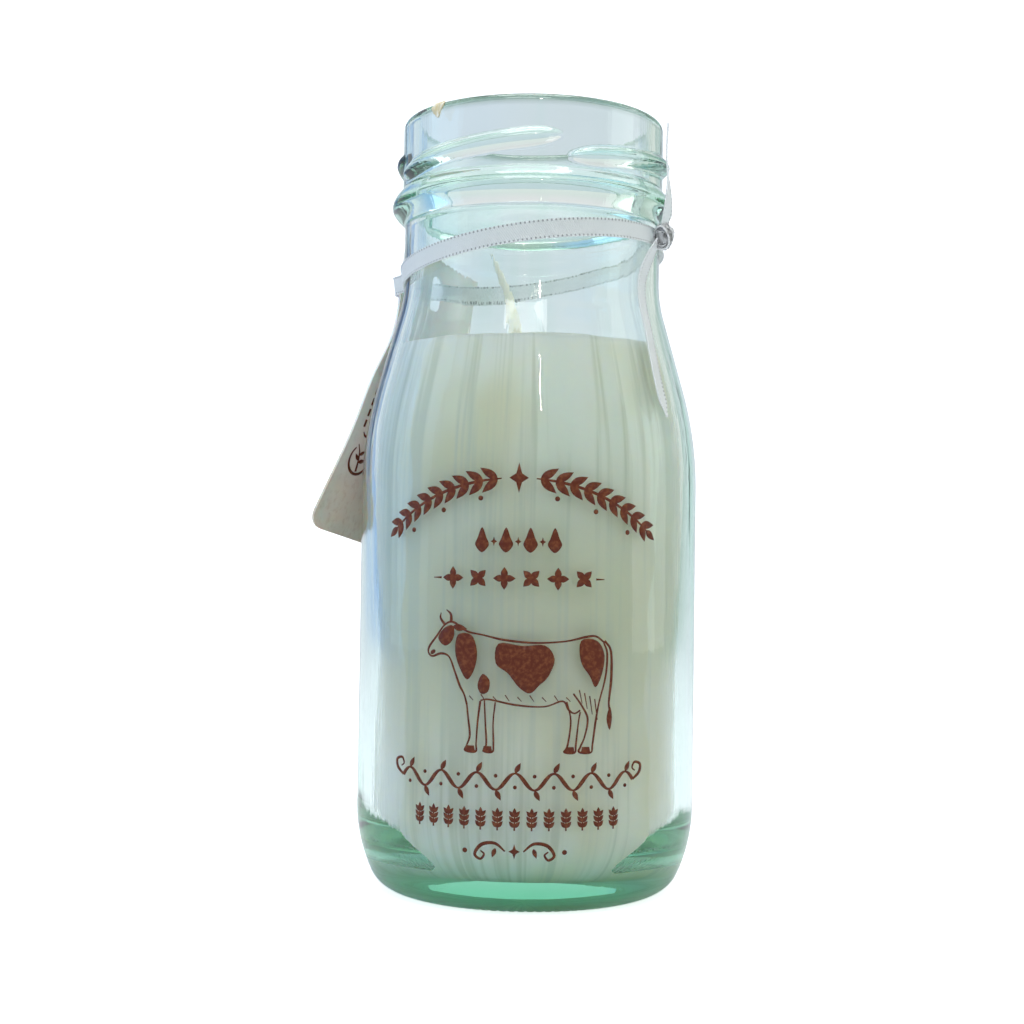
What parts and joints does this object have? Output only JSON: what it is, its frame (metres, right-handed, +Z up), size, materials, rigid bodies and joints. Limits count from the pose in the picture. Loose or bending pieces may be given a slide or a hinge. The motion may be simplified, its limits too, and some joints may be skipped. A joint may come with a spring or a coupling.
{
  "type": "glass milk bottle",
  "caption": "Small round glass milk bottle with a lug finish, filled with poured candle wax and a wick, with a satin ribbon and a card swing tag at its neck.",
  "frame": {"origin": "centre of the bottle's base, on the surface it stands on", "axes": "+Z up along the bottle's axis, the decorated front faces -Y, the knot is on the +X side"},
  "size_m": [0.0688, 0.06, 0.137],
  "materials": {
    "glass": "clear soda-lime glass with a pale green tint",
    "wax": "ivory candle wax, semi-gloss where it wets the glass",
    "wick": "waxed cotton braid",
    "tinplate": "tinned sheet",
    "adhesive": "foam pad",
    "satin": "white satin weave",
    "card": "uncoated kraft-cream card",
    "ink": "dark brown screen-print ink"
  },
  "bodies": {
    "bottle": {"glass_bottle": "glass", "wax_fill": "wax", "wick": "wick", "wick_sustainer": "tinplate", "wick_adhesive_pad": "adhesive"},
    "ribbon": {"neck_ribbon": "satin", "ribbon_knot": "satin", "ribbon_tail_upper": "satin", "ribbon_tail_lower": "satin"},
    "tag": {"hang_tag": "card"}
  },
  "joints": [
    {"name": "ribbon_turn", "type": "hinge", "parent": "bottle", "child": "ribbon", "pos_m": [0, 0, 0.1118], "axis": [0, 0, 1], "continuous": true},
    {"name": "tag_swing", "type": "hinge", "parent": "ribbon", "child": "tag", "pos_m": [-0.02089, 0.0128, 0.1082], "axis": [-0.8259, 0.5061, 0.2487], "range_deg": [-15, 6]}
  ]
}
